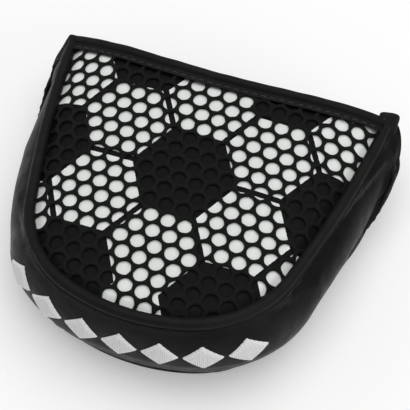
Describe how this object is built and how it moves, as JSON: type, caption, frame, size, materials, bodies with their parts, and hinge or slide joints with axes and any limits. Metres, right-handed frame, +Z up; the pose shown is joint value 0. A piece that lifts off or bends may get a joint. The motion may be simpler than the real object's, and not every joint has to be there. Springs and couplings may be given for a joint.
{
  "type": "putter head cover",
  "caption": "Padded D-shaped cover for a mallet putter head, with a netted hexagon-pattern top, piped side wall and a magnetic flap that folds over the face and under.",
  "frame": {"origin": "on the ground under the middle of the closed cover's bounding box", "axes": "+X to the right along the straight edge, +Y towards the straight edge where the head goes in, +Z up"},
  "size_m": [0.1248, 0.1042, 0.034],
  "materials": {
    "net": "matte knitted net",
    "print": "printed fabric",
    "leather": "satin coated leather",
    "piping": "matte",
    "binding": "matte tape",
    "lining": "brushed",
    "foam": "matte foam",
    "stiffener": "matte",
    "cord": "twisted cotton",
    "magnet": "nickel plated",
    "thread": "satin thread"
  },
  "bodies": {
    "cover": {"top_net": "net", "top_print_panel": "print", "top_foam": "foam", "top_lining": "lining", "top_hem": "binding", "piping_cover": "piping", "piping_cord": "cord", "wall_leather": "leather", "wall_foam": "foam", "wall_lining": "lining", "wall_end_binding_left": "binding", "wall_end_binding_right": "binding", "underside_leather": "leather", "underside_foam": "foam", "underside_lining": "lining", "underside_hem": "binding", "underside_magnet_left": "magnet", "underside_magnet_right": "magnet", "wall_mark_1": "thread", "wall_mark_2": "thread", "wall_mark_3": "thread", "wall_mark_4": "thread", "wall_mark_5": "thread", "wall_mark_6": "thread", "wall_mark_7": "thread", "flap_anchor": "leather"},
    "flap_face": {"face_leather": "leather", "face_padding": "foam", "face_lining": "lining", "face_binding_left": "binding", "face_binding_right": "binding"},
    "flap_tongue": {"tongue_leather": "leather", "tongue_stiffener": "stiffener", "tongue_lining": "lining", "tongue_binding": "binding", "tongue_magnet_left": "magnet", "tongue_magnet_right": "magnet"}
  },
  "joints": [
    {"name": "face_hinge", "type": "hinge", "parent": "cover", "child": "flap_face", "pos_m": [0, 0.05095, 0.02286], "axis": [1, 0, 0], "range_deg": [0, 135]},
    {"name": "tongue_hinge", "type": "hinge", "parent": "flap_face", "child": "flap_tongue", "pos_m": [0, 0.0494, 0.00275], "axis": [1, 0, 0], "range_deg": [0, 95]}
  ]
}
